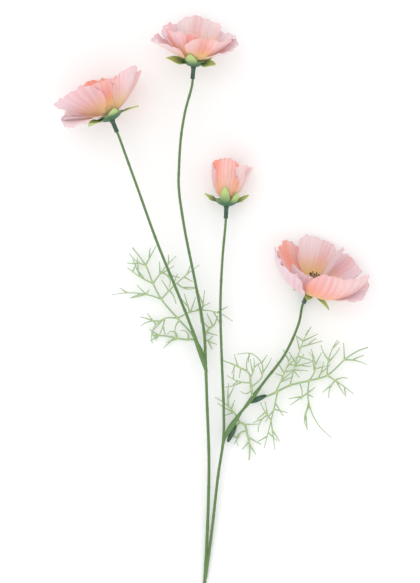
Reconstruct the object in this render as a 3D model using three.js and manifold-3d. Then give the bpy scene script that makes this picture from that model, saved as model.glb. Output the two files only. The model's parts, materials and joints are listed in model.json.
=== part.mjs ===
/**
 * A cut spray of poppies, lying on a table.
 *
 * One stem forks three times and carries four flower heads: three open blooms and a half-closed bud.
 * Fine, thread-like fronds grow at two of the forks. Each head is a dark sleeve on the stem's end,
 * a ring of sepals, a cup of overlapping waved petals and, in the open blooms, a heart of stamens.
 *
 * Millimetres. +Z is up from the table, +Y runs along the stem towards the blooms, +X is to the right
 * of someone who looks down on the spray. The origin is on the table, under the middle of the spray.
 */
import * as THREE from "three";
import { mergeVertices } from "three/addons/utils/BufferGeometryUtils.js";
import Module from "manifold-3d";

const wasm = await Module();
wasm.setup();

// ---------------------------------------------------------------- driving dimensions
const GAP = 0.3; // clearance between neighbouring pieces
const SLIVER = 0.02; // details finer than this are smoothed away
const STEM_RADIUS = 1.6; // at the cut end
const STEM_RADIUS_AT_FORK = 1.45;
const STEM_RADIUS_AT_HEAD = 1.2;
const STEM_SIDES = 6;
const STEM_STEP = 24; // length of one straight stretch of a stem
const PETAL_THICKNESS = 0.8;
const SEPAL_THICKNESS = 0.8;
const SEPAL_ARCH = 0.2; // height of a sepal's arch from side to side, in half widths
const SLEEVE_RADIUS = 2.3;
const SLEEVE_LENGTH = 12;
const SLEEVE_TOP_RADIUS = 3; // where the sleeve widens under the cup of the sepals
const STEM_IN_SLEEVE = 4; // how far the stem's end reaches into the sleeve

// Heights along a head's own axis, from the point where the petals spread.
const SLEEVE_TOP = -5;
const CUP_FLOOR = -1.2;
const CUP_RIM = 2;
const CORE_BOTTOM = CUP_FLOOR + GAP;
const CORE_TOP = 3.6;

const radians = THREE.MathUtils.degToRad;
const mix = THREE.MathUtils.lerp;
const vector = ([x, y, z]) => new THREE.Vector3(x, y, z);

/** A repeatable number from 0 to 1 for a whole number: the fraction of a large multiple of its sine. */
function chance(seed) {
  const value = Math.sin(seed * 12.9898) * 43758.5453;
  return value - Math.floor(value);
}

// ---------------------------------------------------------------- solids
/** A closed geometry as a manifold solid: only positions are kept, and coinciding vertices merged. */
function solidOf(geometry) {
  const bare = geometry.clone();
  bare.deleteAttribute("normal");
  bare.deleteAttribute("uv");
  const merged = mergeVertices(bare, 1e-4);
  return new wasm.Manifold(
    new wasm.Mesh({
      numProp: 3,
      vertProperties: merged.attributes.position.array,
      triVerts: new Uint32Array(merged.index.array),
    }),
  );
}

/** All the solids joined in one. */
function join(solids) {
  return solids.reduce((whole, next) => whole.add(next));
}

/** The largest body of a solid: scraps that a cut leaves and bubbles shut in between blades are dropped. */
function largest(solid) {
  return solid.decompose().reduce((a, b) => (a.volume() > b.volume() ? a : b));
}

/** A named mesh from a manifold solid, without the slivers that its joins and cuts left. */
function meshOf(name, solid, material) {
  const { numProp, numVert, vertProperties, triVerts } = solid.asOriginal().simplify(SLIVER).getMesh();
  const position = new Float32Array(numVert * 3);
  for (let i = 0; i < numVert; i++) {
    position.set(vertProperties.subarray(i * numProp, i * numProp + 3), i * 3);
  }
  const geometry = new THREE.BufferGeometry();
  geometry.setAttribute("position", new THREE.BufferAttribute(position, 3));
  geometry.setIndex(new THREE.BufferAttribute(new Uint32Array(triVerts), 1));
  geometry.computeVertexNormals();
  const mesh = new THREE.Mesh(geometry, material);
  mesh.name = name;
  return mesh;
}

/**
 * A tapering tube along a smooth line through the points. radiusAt(u) gives its radius from 0 at the
 * first point to 1 at the last, twist turns its section by a part of a turn, and grow widens it and
 * lengthens both ends, to cut a clearance.
 */
function tube(points, radiusAt, { sides, step, twist = 0, grow = 0 }) {
  const line = new THREE.CatmullRomCurve3(points.map(vector), false, "centripetal");
  const steps = Math.max(2, Math.round(line.getLength() / step));
  const { normals, binormals, tangents } = line.computeFrenetFrames(steps, false);
  const position = [];
  const index = [];
  for (let i = 0; i <= steps; i++) {
    const centre = line.getPointAt(i / steps);
    if (i === 0) centre.addScaledVector(tangents[i], -grow);
    if (i === steps) centre.addScaledVector(tangents[i], grow);
    const radius = radiusAt(i / steps) + grow;
    for (let k = 0; k < sides; k++) {
      const angle = ((k + 0.5) / sides + twist) * 2 * Math.PI;
      const p = centre
        .clone()
        .addScaledVector(normals[i], radius * Math.cos(angle))
        .addScaledVector(binormals[i], radius * Math.sin(angle));
      position.push(p.x, p.y, p.z);
    }
  }
  for (let i = 0; i < steps; i++) {
    for (let k = 0; k < sides; k++) {
      const a = i * sides + k;
      const b = i * sides + ((k + 1) % sides);
      index.push(a, b, b + sides, a, b + sides, a + sides);
    }
  }
  const last = steps * sides;
  for (let k = 1; k < sides - 1; k++) {
    index.push(0, k + 1, k);
    index.push(last, last + k, last + k + 1);
  }
  const geometry = new THREE.BufferGeometry();
  geometry.setAttribute("position", new THREE.Float32BufferAttribute(position, 3));
  geometry.setIndex(index);
  return solidOf(geometry);
}

/**
 * A thin solid round a surface. pointAt(s, t) gives the surface for s from -1 to 1 and t from 0 to 1;
 * both faces lie half a thickness from it and are split into triangles alike.
 */
function sheet(pointAt, { across, along, thickness, grow = 0 }) {
  const grid = [];
  for (let j = 0; j <= along; j++) {
    for (let i = 0; i <= across; i++) {
      grid.push(pointAt((2 * i) / across - 1, j / along));
    }
  }
  const at = (i, j) =>
    grid[THREE.MathUtils.clamp(j, 0, along) * (across + 1) + THREE.MathUtils.clamp(i, 0, across)];
  const faces = [[], []];
  for (let j = 0; j <= along; j++) {
    for (let i = 0; i <= across; i++) {
      const sideways = at(i + 1, j).clone().sub(at(i - 1, j));
      const outward = at(i, j + 1).clone().sub(at(i, j - 1));
      const half = sideways.clone().cross(outward).setLength(thickness / 2 + grow);
      const centre = at(i, j).clone();
      if (i === 0 || i === across) centre.add(sideways.setLength(i ? grow : -grow));
      if (j === along) centre.add(outward.setLength(grow));
      faces[0].push(centre.clone().add(half));
      faces[1].push(centre.clone().sub(half));
    }
  }
  const position = faces.flat().flatMap((p) => [p.x, p.y, p.z]);
  const back = grid.length;
  const index = [];
  for (let j = 0; j < along; j++) {
    for (let i = 0; i < across; i++) {
      const a = j * (across + 1) + i;
      const b = a + 1;
      const c = a + across + 1;
      const d = c + 1;
      index.push(a, b, d, a, d, c);
      index.push(back + a, back + d, back + b, back + a, back + c, back + d);
    }
  }
  const rim = [];
  for (let i = 0; i < across; i++) rim.push(i);
  for (let j = 0; j < along; j++) rim.push(j * (across + 1) + across);
  for (let i = across; i > 0; i--) rim.push(along * (across + 1) + i);
  for (let j = along; j > 0; j--) rim.push(j * (across + 1));
  rim.forEach((a, n) => {
    const b = rim[(n + 1) % rim.length];
    index.push(b, a, back + a, b, back + a, back + b);
  });
  const geometry = new THREE.BufferGeometry();
  geometry.setAttribute("position", new THREE.Float32BufferAttribute(position, 3));
  geometry.setIndex(index);
  return solidOf(geometry);
}

// ---------------------------------------------------------------- the frame of a head
/**
 * A head's frame: its petals spread at `base`, and its axis points along `axis`. Azimuth 0 of a petal
 * is the side that looks up from the table, and 90 is to the right of someone who looks down.
 */
function headFrame({ base, axis }) {
  const out = vector(axis).normalize();
  const up = new THREE.Vector3(0, 0, 1);
  const front = up.addScaledVector(out, -up.dot(out)).normalize();
  const right = out.clone().cross(front);
  const matrix = new THREE.Matrix4().makeBasis(right, out, front).setPosition(vector(base));
  return { out, matrix, base: vector(base) };
}

/** A solid turned from a profile of [radius, height] about a head's axis. */
function turned(frame, profile, segments) {
  const geometry = new THREE.LatheGeometry(
    profile.map(([r, h]) => new THREE.Vector2(r, h)),
    segments,
  );
  return solidOf(geometry.applyMatrix4(frame.matrix));
}

/**
 * The middle line of a petal or sepal as [radius, height, slope] at t. Its slope from the head's axis
 * runs from angles[0] at the root past angles[1] to angles[2] at the tip, as on a quadratic curve.
 */
function midLine({ length, angles, start }, t) {
  const PARTS = 16;
  const slopeAt = (x) =>
    radians((1 - x) ** 2 * angles[0] + 2 * x * (1 - x) * angles[1] + x * x * angles[2]);
  let [r, h] = start;
  for (let i = 0; i < PARTS; i++) {
    const slope = slopeAt(((i + 0.5) / PARTS) * t);
    r += ((length * t) / PARTS) * Math.sin(slope);
    h += ((length * t) / PARTS) * Math.cos(slope);
  }
  return [r, h, slopeAt(t)];
}

/**
 * A point beside the middle line, `turn` radians round an axis that is `hub` inward, pushed `lift`
 * outward.
 */
function beside([r, h, slope], azimuth, turn, hub, lift) {
  const a = radians(azimuth);
  const radial = r - hub * (1 - Math.cos(turn)) + lift * Math.cos(slope) * Math.cos(turn);
  const sideways = hub * Math.sin(turn) + lift * Math.cos(slope) * Math.sin(turn);
  const height = h - lift * Math.sin(slope);
  return new THREE.Vector3(
    radial * Math.sin(a) + sideways * Math.cos(a),
    height,
    radial * Math.cos(a) - sideways * Math.sin(a),
  );
}

// ---------------------------------------------------------------- petals
const PETAL_START = [2.2, 1.2]; // radius and height of a petal's root, inside the core

/**
 * The middle surface of a petal, a fan that wraps round the head's axis. A petal is
 * [azimuth, half width in degrees, length, three slopes, wave height, wave count, phase].
 */
function petalSurface(frame, petal) {
  const [azimuth, halfWidth, length, angles, wave, count, phase] = petal;
  return (s, t) => {
    const outline = 1 - 0.16 * s ** 2 - 0.46 * s ** 8 - 0.03 * Math.cos(5 * s + 2 * phase);
    const reach = t * outline;
    const line = midLine({ length, angles, start: PETAL_START }, reach);
    const fan = 0.6 + 0.4 * THREE.MathUtils.smoothstep(reach, 0, 0.65);
    const turn = s * radians(halfWidth) * fan;
    const overlap = 1.6 * s * reach;
    const waves = wave * reach ** 2.2 * Math.sin(Math.PI * count * s + phase);
    const quick = Math.sin(Math.PI * (2 * count + 1) * s + 2 * phase);
    const ruffle = 0.45 * Math.min(wave, 3) * reach ** 6 * quick;
    const lift = overlap + waves + ruffle;
    return beside(line, azimuth, turn, line[0], lift).applyMatrix4(frame.matrix);
  };
}

/** The petals of a head, joined at a small core. */
function petalsOf(frame, petals, { across, along, grow = 0 }) {
  const core = turned(
    frame,
    [
      [0, CORE_BOTTOM - grow],
      [2.6 + grow, CORE_BOTTOM - grow],
      [4.4 + grow, 1.4],
      [3.4 + grow, CORE_TOP + grow],
      [0, CORE_TOP + grow],
    ],
    10,
  );
  const blades = petals.map((petal) =>
    sheet(petalSurface(frame, petal), { across, along, thickness: PETAL_THICKNESS, grow }),
  );
  return join([core, ...blades]);
}

// ---------------------------------------------------------------- sepals and sleeves
/**
 * The middle surface of a sepal, an arched pointed blade whose two edges stand `twist` apart in height:
 * [azimuth, length, half width, three slopes, twist].
 */
function sepalSurface(frame, cup, [azimuth, length, halfWidth, angles, twist]) {
  const start = [0.8 * cup, 0];
  return (s, t) => {
    const line = midLine({ length, angles, start }, t);
    const width = halfWidth * (0.06 + 0.94 * Math.sin(Math.PI * (0.3 + 0.7 * t)));
    const lift = SEPAL_ARCH * halfWidth * (1 - s * s) + (0.5 * twist * s * width) / halfWidth;
    const hub = 60; // nearly flat across
    return beside(line, azimuth, (s * width) / hub, hub, lift).applyMatrix4(frame.matrix);
  };
}

/** The sepals of a head and the bowl that carries them, whose radius at the rim is `cup`. */
function sepalsOf(frame, cup, sepals) {
  const bowl = turned(
    frame,
    [
      [0, SLEEVE_TOP + GAP],
      [SLEEVE_TOP_RADIUS, SLEEVE_TOP + GAP],
      [0.72 * cup, -2],
      [cup, CUP_RIM],
      [cup - 1, CUP_RIM],
      [0.6 * cup, CUP_FLOOR],
      [0, CUP_FLOOR],
    ],
    10,
  );
  const blades = sepals.map((sepal) =>
    sheet(sepalSurface(frame, cup, sepal), { across: 2, along: 4, thickness: SEPAL_THICKNESS }),
  );
  return join([bowl, ...blades]);
}

/** The dark sleeve that grips the stem's end and widens a little under the cup. */
function sleeveOf(frame) {
  return turned(
    frame,
    [
      [0, SLEEVE_TOP - SLEEVE_LENGTH],
      [SLEEVE_RADIUS, SLEEVE_TOP - SLEEVE_LENGTH],
      [SLEEVE_RADIUS, SLEEVE_TOP - 2],
      [SLEEVE_TOP_RADIUS, SLEEVE_TOP],
      [0, SLEEVE_TOP],
    ],
    8,
  );
}

// ---------------------------------------------------------------- hearts
const STAMENS = 10;

/** A bloom's heart: a ribbed pistil ringed by stamens with swollen tips. */
function heartOf(frame, seed) {
  const pistil = turned(
    frame,
    [
      [0, CORE_TOP + GAP],
      [3, CORE_TOP + GAP],
      [2.4, 8],
      [2.6, 10],
      [0, 11],
    ],
    8,
  );
  const stamens = Array.from({ length: STAMENS }, (_, i) => {
    const azimuth = (360 / STAMENS) * (i + 0.5 * chance(seed + i));
    const length = 13 + 5 * chance(seed + 40 + i);
    const lean = 9 + 11 * chance(seed + 80 + i);
    const line = { length, angles: [lean * 0.4, lean, lean * 1.6], start: [2, CORE_TOP + 0.6] };
    const points = [0, 0.5, 1].map((t) =>
      beside(midLine(line, t), azimuth, 0, 1, 0).applyMatrix4(frame.matrix).toArray(),
    );
    const radiusAt = (u) => mix(0.4, 0.8, u);
    return tube(points, radiusAt, { sides: 3, step: length / 2 });
  });
  return join([pistil, ...stamens]);
}

// ---------------------------------------------------------------- the four heads
const HEADS = {
  left: {
    base: [-100.5, 197.5, 37.1],
    axis: [-0.38, 0.92, 0.04],
    cup: 13.5,
    petals: [
      [184, 66, 52, [66, 34, 20], 2.0, 1.7, 4.2],
      [246, 54, 48, [80, 64, 60], 3.4, 1.4, 5.6],
      [104, 46, 52, [78, 50, 32], 3.0, 1.4, 3.1],
      [290, 56, 47, [83, 75, 78], 11.0, 0.5, 0.2],
      [66, 48, 54, [76, 48, 26], 2.4, 1.4, 1.9],
      [304, 66, 55, [75, 50, 37], 5.0, 0.5, 3.3],
      [10, 54, 41, [74, 40, 26], 1.8, 1.5, 5.0],
      [338, 60, 47, [72, 42, 30], 1.8, 2.3, 0.4],
    ],
    sepals: [
      [16, 11, 5.4, [78, 62, 54], 0],
      [84, 19, 3.2, [90, 94, 100], -2],
      [160, 13, 5.4, [70, 60, 50], 0],
      [248, 15, 5.4, [88, 88, 92], 0],
      [304, 16, 6.5, [90, 88, 84], 6],
    ],
    heart: 11,
  },
  top: {
    base: [-18.5, 251.0, 34],
    axis: [0.08, 0.96, 0.26],
    cup: 11.5,
    petals: [
      [174, 60, 51, [64, 34, 22], 2.0, 1.9, 4.0],
      [130, 54, 47, [68, 50, 44], 2.2, 1.4, 2.9],
      [232, 50, 45, [66, 42, 34], 2.4, 1.4, 4.6],
      [78, 46, 46, [76, 58, 58], 7.0, 0.5, 3.2],
      [290, 48, 47, [78, 56, 54], 3.0, 1.2, 0.7],
      [328, 62, 46, [70, 39, 30], 2.4, 2.1, 2.2],
      [34, 60, 46, [76, 48, 38], 2.2, 2.0, 0.2],
    ],
    sepals: [
      [350, 18, 6, [62, 46, 40], 0],
      [66, 14, 6.5, [84, 86, 88], -6],
      [125, 13, 5, [72, 70, 70], 0],
      [235, 13, 5, [70, 66, 64], 0],
      [292, 20, 6.5, [82, 80, 74], 6],
    ],
    heart: 211,
  },
  right: {
    base: [96.4, 27.4, 15.2],
    axis: [0.335, 0.79, 0.515],
    cup: 9.6,
    petals: [
      [201, 50, 52, [60, 36, 24], 1.8, 1.4, 0.3],
      [260, 40, 54, [72, 52, 36], 2.0, 1.4, 4.4],
      [117, 50, 53, [66, 46, 24], 2.2, 1.6, 2.9],
      [146, 15, 50, [50, 14, 22], 0.8, 1.0, 1.2],
      [82, 38, 59, [78, 62, 44], 4.0, 0.6, 3.0],
      [303, 54, 58, [91, 70, 4], 5.0, 0.5, 3.1],
      [334, 58, 42, [85, 46, 0], 1.4, 0.9, 3.6],
      [44, 60, 69, [91, 54, -26], 7.0, 0.5, 0.1],
    ],
    sepals: [
      [4, 10, 4.6, [108, 104, 100], 0],
      [66, 21, 4, [104, 100, 120], 0],
      [150, 13, 4.8, [84, 80, 76], 0],
      [222, 13, 4.8, [82, 76, 72], 0],
      [300, 10, 4.6, [108, 104, 100], 0],
    ],
    heart: 411,
  },
  bud: {
    base: [13.8, 114.6, 17.8],
    axis: [0.05, 0.99, 0.1],
    cup: 12,
    petals: [
      [186, 66, 44, [62, -8, 0], 1.3, 1.6, 4.1],
      [108, 58, 41, [64, 2, 30], 1.6, 1.4, 3.0],
      [262, 60, 42, [66, -6, -4], 1.3, 1.5, 5.2],
      [52, 68, 41, [68, -4, 18], 1.5, 1.3, 1.8],
      [338, 74, 47, [68, -8, 0], 1.2, 1.3, 0.5],
    ],
    sepals: [
      [352, 18, 4.6, [54, 14, 8], 0],
      [40, 12, 4.4, [58, 24, 16], 0],
      [92, 14, 5, [66, 56, 50], -4],
      [184, 12, 5, [50, 38, 32], 0],
      [268, 14, 5, [68, 60, 52], 4],
    ],
  },
};

const PETAL_GRID = { across: 7, along: 5 };
for (const head of Object.values(HEADS)) head.frame = headFrame(head);

/** A point on a head's axis, `distance` behind its base. */
function behind({ frame }, distance) {
  return frame.base.clone().addScaledVector(frame.out, -distance).toArray();
}

// ---------------------------------------------------------------- stems
const STEM_END = SLEEVE_TOP - SLEEVE_LENGTH + STEM_IN_SLEEVE; // height of the stem's end in a sleeve
const SLEEVE_MOUTH = SLEEVE_LENGTH - SLEEVE_TOP + 6; // just behind the sleeve

const STEMS = [
  {
    // the left stem, from the cut end past two forks to the top bloom
    points: [
      [-9.3, -297, 1.25],
      [-8.8, -279, 1.25],
      [-6.4, -234.8, 4],
      [-4.3, -181.6, 7.2],
      [-3.8, -140.5, 9.6],
      [-5.8, -82.6, 12.6],
      [-7.0, -45.8, 14.6],
      [-8.9, -12.6, 16.6],
      [-16.6, 30.6, 18.6],
      [-28.4, 90.0, 21],
      [-33.6, 128.0, 23],
      [-33.4, 147.2, 24],
      [-31.3, 178.3, 25],
      [-27.1, 203.4, 26],
      behind(HEADS.top, SLEEVE_MOUTH),
      behind(HEADS.top, -STEM_END),
    ],
    radii: [STEM_RADIUS, STEM_RADIUS_AT_HEAD],
  },
  {
    // its branch to the left bloom
    points: [
      [-6.4, -64.7, 13.7],
      [-8.1, -42.8, 15.2],
      [-16.6, -22.4, 17],
      [-27.9, 7.2, 19.6],
      [-55.1, 74.1, 24],
      [-73.7, 125.9, 27.4],
      [-84.9, 156.9, 29.6],
      behind(HEADS.left, SLEEVE_MOUTH),
      behind(HEADS.left, -STEM_END),
    ],
    radii: [STEM_RADIUS_AT_FORK, STEM_RADIUS_AT_HEAD],
  },
  {
    // the right stem, from the left one to the bud
    points: [
      [-7.1, -260.9, 2.7],
      [-4.0, -237.8, 3.8],
      [0.1, -205.1, 5.8],
      [5.3, -158.5, 8.4],
      [10.7, -120.6, 10.2],
      [10.9, -92.6, 11.6],
      [9.1, -44.8, 13.4],
      [7.6, 9.8, 15],
      [9.7, 58.9, 16.2],
      behind(HEADS.bud, SLEEVE_MOUTH),
      behind(HEADS.bud, -STEM_END),
    ],
    radii: [STEM_RADIUS_AT_FORK, STEM_RADIUS_AT_HEAD],
  },
  {
    // its branch to the right bloom
    points: [
      [9.6, -128.5, 9.8],
      [15.5, -111.1, 10.6],
      [32.7, -89.1, 11.8],
      [51.0, -64.7, 12.5],
      [71.8, -36.9, 12.6],
      [85.6, -6.1, 11.8],
      behind(HEADS.right, SLEEVE_MOUTH - 2),
      behind(HEADS.right, -STEM_END),
    ],
    radii: [STEM_RADIUS_AT_FORK, STEM_RADIUS_AT_HEAD],
  },
];

// Spindle-shaped swellings where the fronds clasp a stem: the two ends and the greatest radius.
const SWELLINGS = [
  { ends: [[-6.2, -54.7, 14], [-20.5, -12.0, 18]], radius: 2.1 },
  { ends: [[11.8, -120.5, 10.3], [27.6, -95.4, 11.6]], radius: 2.2 },
  { ends: [[32.1, -89.9, 11.8], [47.0, -70.1, 12.4]], radius: 2.2 },
];

/** Every stem and swelling, joined; grow widens them all, to cut a clearance. */
function stemSolid(grow) {
  const stems = STEMS.map(({ points, radii }) =>
    tube(points, (u) => mix(radii[0], radii[1], u), { sides: STEM_SIDES, step: STEM_STEP, grow }),
  );
  const swellings = SWELLINGS.map(({ ends, radius }) => {
    const middle = ends[0].map((value, i) => (value + ends[1][i]) / 2);
    const swell = (u) => mix(STEM_RADIUS, radius, Math.sin(Math.PI * u) ** 1.4);
    return tube([ends[0], middle, ends[1]], swell, { sides: STEM_SIDES, step: 6, grow });
  });
  return join([...stems, ...swellings]);
}

// ---------------------------------------------------------------- fronds
// A frond is a main rib and its twigs. A twig is [parent, place along it, first heading, last heading,
// length]: parent 0 is the rib and n is the n-th twig; headings turn anticlockwise from +X.
const RIB = { radii: [1.2, 0.6], sides: 4, step: 6 };
const TWIG = { radii: [0.85, 0.35], sides: 3, step: 10 };

const FRONDS = {
  frond_left_long: {
    rib: [
      [-12.7, -30.3, 16],
      [-22.3, -15.3, 12.5],
      [-35.7, -0.8, 9.5],
      [-51.3, 17.7, 8.5],
      [-59.7, 33.7, 8],
      [-66.7, 51.0, 8.5],
      [-79.7, 68.7, 10],
    ],
    twigs: [
      [0, 0.82, 169, 119, 20],
      [0, 0.82, 61, 61, 22],
      [0, 0.66, 156, 140, 30],
      [3, 0.47, 114, 114, 19],
      [0, 0.66, 57, 43, 36],
      [5, 0.34, 93, 93, 12],
      [5, 0.38, -6, -112, 19],
      [0, 0.51, 157, 193, 50],
      [8, 0.31, 134, 134, 13],
      [8, 0.31, 58, 58, 6],
      [8, 0.42, -159, -159, 11],
      [0, 0.51, 49, 35, 51],
      [12, 0.44, -50, 22, 21],
      [12, 0.22, 123, 123, 13],
      [12, 0.23, -46, -82, 15],
      [0, 0.31, 164, 287, 43],
      [16, 0.42, 168, 220, 20],
      [16, 0.53, 128, 128, 14],
      [16, 0.30, -95, -130, 23],
      [0, 0.31, 34, -40, 59],
      [20, 0.23, 106, 106, 19],
      [20, 0.24, 70, 70, 16],
      [20, 0.45, 83, 83, 20],
      [20, 0.41, -85, -85, 13],
      [0, 0.28, -135, -72, 17],
      [8, 0.70, 145, 145, 9],
      [12, 0.70, 68, 68, 10],
      [12, 0.62, -30, -30, 10],
      [16, 0.75, -60, -60, 9],
      [20, 0.70, 30, 30, 12],
      [20, 0.64, -62, -62, 12],
      [5, 0.70, 88, 88, 9],
      [3, 0.78, 64, 64, 8],
    ],
    rise: 0.02,
  },
  frond_left_low: {
    rib: [
      [-9.7, -34.3, 15.5],
      [-19.0, -22.8, 9],
      [-26.4, -22.8, 5],
      [-37.2, -21.3, 4],
      [-46.3, -19.3, 3.5],
      [-59.7, -18.7, 3.5],
    ],
    twigs: [
      [0, 0.40, 63, 190, 14],
      [0, 0.59, 69, 240, 15],
      [0, 0.63, -137, -137, 15],
      [0, 0.57, -160, -160, 12],
      [0, 0.91, 144, 144, 11],
      [0, 0.91, -146, -146, 10],
    ],
    rise: 0,
  },
  frond_left_back: {
    rib: [
      [-7.1, -31.3, 14],
      [-7.7, -21.3, 8],
      [-5.7, -14.3, 5.5],
      [1.8, -7.3, 5],
      [4.8, 0.7, 5],
    ],
    twigs: [
      [0, 0.48, -18, -18, 11],
      [0, 0.28, -30, -15, 13],
      [2, 0.24, 42, 42, 7],
      [2, 0.31, -67, -67, 9],
      [0, 0.71, 115, 115, 14],
      [0, 0.60, 135, 135, 10],
    ],
    rise: 0,
  },
  frond_right_long: {
    rib: [
      [49.3, -80.3, 10.4],
      [57.3, -77.7, 9.4],
      [77.8, -68.0, 8.5],
      [95.3, -63.8, 8],
      [114.0, -58.3, 8],
      [131.9, -42.3, 8],
      [143.1, -34.8, 8.5],
      [154.3, -30.3, 9.5],
    ],
    twigs: [
      [0, 0.78, 93, 93, 17],
      [0, 0.78, 2, -26, 23],
      [0, 0.58, 92, 56, 37],
      [3, 0.42, 133, 101, 17],
      [0, 0.58, -32, -38, 32],
      [5, 0.29, 38, -19, 13],
      [5, 0.29, -138, -83, 19],
      [0, 0.42, 42, 137, 32],
      [8, 0.56, 62, 62, 14],
      [8, 0.43, 14, 14, 13],
      [0, 0.42, -101, -36, 64],
      [11, 0.40, -133, -57, 25],
      [11, 0.19, -145, -145, 21],
      [11, 0.19, 37, 37, 9],
      [11, 0.21, -27, -27, 6],
      [0, 0.26, 79, 65, 58],
      [16, 0.80, 26, 26, 16],
      [16, 0.69, 16, 16, 22],
      [16, 0.80, 145, 145, 10],
      [16, 0.63, 105, 105, 13],
      [16, 0.26, -49, -49, 9],
      [16, 0.28, -4, -4, 14],
      [16, 0.33, 16, 16, 19],
      [0, 0.12, 64, 70, 40],
      [24, 0.51, 122, 122, 14],
      [24, 0.68, 46, 46, 15],
      [24, 0.57, 11, 11, 12],
      [24, 0.83, 117, 117, 13],
      [24, 0.45, 160, 160, 8],
      [0, 0.14, -102, -105, 58],
      [30, 0.52, -82, -83, 29],
      [30, 0.31, -14, -14, 14],
      [30, 0.51, 133, 110, 20],
      [33, 0.48, -141, -141, 11],
      [33, 0.33, -151, -85, 20],
      [16, 0.40, 122, 122, 13],
      [16, 0.52, -18, -18, 17],
      [16, 0.90, 58, 58, 10],
      [24, 0.28, 24, 24, 14],
      [24, 0.76, -8, -8, 12],
      [30, 0.72, -44, -44, 12],
      [30, 0.80, -150, -150, 11],
      [30, 0.20, -58, -58, 15],
      [8, 0.76, 104, 104, 10],
      [3, 0.76, 44, 44, 9],
      [0, 0.34, -62, -104, 17],
      [0, 0.50, 62, 84, 18],
      [5, 0.64, -84, -84, 10],
    ],
    rise: 0,
  },
  frond_right_inner: {
    rib: [
      [39.3, -78.3, 12.6],
      [37.8, -67.3, 17.6],
      [36.0, -56.3, 18],
      [24.7, -49.1, 17.8],
      [10.3, -43.3, 17.6],
    ],
    twigs: [
      [0, 0.18, 20, 205, 56],
      [1, 0.50, 55, 55, 10],
      [1, 0.79, -98, -98, 9],
      [0, 0.36, 60, 100, 20],
      [0, 0.28, 183, 143, 25],
      [0, 0.70, 107, 107, 13],
      [0, 0.75, -111, -111, 9],
      [0, 0.64, -100, -100, 10],
      [0, 0.14, -112, -229, 13],
      [5, 0.50, -144, -144, 6],
      [0, 0.50, 104, 62, 17],
      [1, 0.30, 112, 112, 11],
      [4, 0.55, 36, 36, 9],
      [5, 0.70, 84, 84, 9],
    ],
    rise: 0,
  },
  frond_right_drooping: {
    rib: [
      [22.3, -110.3, 7.6],
      [27, -105.6, 5.8],
      [31.9, -108.2, 4.8],
      [35.0, -119.3, 4],
      [37.0, -130.7, 3.5],
      [36.3, -143.0, 3],
    ],
    twigs: [
      [0, 0.15, 114, 155, 36],
      [0, 0.25, 2, 2, 14],
      [0, 0.52, -29, -29, 15],
      [0, 0.39, 176, 304, 21],
      [1, 0.55, 96, 83, 23],
      [1, 0.44, 69, 69, 10],
      [1, 0.34, -161, -161, 10],
      [0, 0.68, -58, -58, 12],
      [0, 0.62, -132, -132, 10],
      [4, 0.60, 150, 150, 8],
    ],
    rise: 0,
  },
};

/** The points of a twig that starts at `from` and turns evenly from one heading to the other. */
function twigPoints(from, [, , first, last, length], rise) {
  const PARTS = 4;
  const points = [from.toArray()];
  const p = from.clone();
  for (let i = 0; i < PARTS; i++) {
    const heading = radians(mix(first, last, (i + 0.5) / PARTS));
    p.x += (length / PARTS) * Math.cos(heading);
    p.y += (length / PARTS) * Math.sin(heading);
    p.z = Math.max(1.2, p.z + (length / PARTS) * rise);
    points.push(p.toArray());
  }
  return points;
}

/** Every line of a frond as { points, kind }: its rib, then its twigs. */
function frondLines({ rib, twigs, rise }) {
  const curveOf = (points) => new THREE.CatmullRomCurve3(points.map(vector), false, "centripetal");
  const curves = [curveOf(rib)];
  const lines = [{ points: rib, kind: RIB }];
  twigs.forEach((twig, n) => {
    const [parent, place] = twig;
    const points = twigPoints(curves[parent].getPointAt(place), twig, rise);
    curves.push(curveOf(points));
    lines.push({ points, kind: { ...TWIG, twist: chance(n) } });
  });
  return lines;
}

function frondSolid(frond) {
  const tubes = frondLines(frond).map(({ points, kind }) =>
    tube(points, (u) => mix(kind.radii[0], kind.radii[1], u), kind),
  );
  return join(tubes);
}

// Dark sockets: spindles that hold the feet of the two largest fronds.
const SOCKETS = {
  frond_socket_upper: { ends: [[36.8, -85.4, 9.4], [53.0, -78.1, 10.6]], radius: 2.7 },
  frond_socket_lower: { ends: [[15.0, -124.5, 7.6], [23.2, -108.1, 8.2]], radius: 2.5 },
};

// ---------------------------------------------------------------- materials
const material = (color, roughness) =>
  new THREE.MeshStandardMaterial({ color, roughness, metalness: 0 });
const PETAL_PINK = material(0xf2c4c2, 0.85);
const SEPAL_GREEN = material(0xa9c47a, 0.6);
const SLEEVE_GREEN = material(0x3f5f4a, 0.5);
const HEART_BROWN = material(0x5b4a3c, 0.7);
const STEM_GREEN = material(0x74915a, 0.55);
const FROND_GREEN = material(0xb4c894, 0.6);

// ---------------------------------------------------------------- assembly
const spray = new THREE.Group();
// The cut end is worn flat where it lies on the table.
const stem = stemSolid(0).trimByPlane([0, 0, 1], 0);
const stemClearance = stemSolid(GAP);
spray.add(meshOf("branched_stem", stem, STEM_GREEN));

for (const [name, { frame, cup, petals, sepals, heart }] of Object.entries(HEADS)) {
  const label = name === "bud" ? "bud" : `bloom_${name}`;
  const petalClearance = petalsOf(frame, petals, { ...PETAL_GRID, grow: GAP });
  spray.add(meshOf(`${label}_petals`, largest(petalsOf(frame, petals, PETAL_GRID)), PETAL_PINK));
  spray.add(
    meshOf(`${label}_sepals`, largest(sepalsOf(frame, cup, sepals).subtract(petalClearance)), SEPAL_GREEN),
  );
  spray.add(meshOf(`${label}_sleeve`, largest(sleeveOf(frame).subtract(stemClearance)), SLEEVE_GREEN));
  if (heart) {
    spray.add(
      meshOf(`${label}_heart`, largest(heartOf(frame, heart).subtract(petalClearance)), HEART_BROWN),
    );
  }
}

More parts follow.
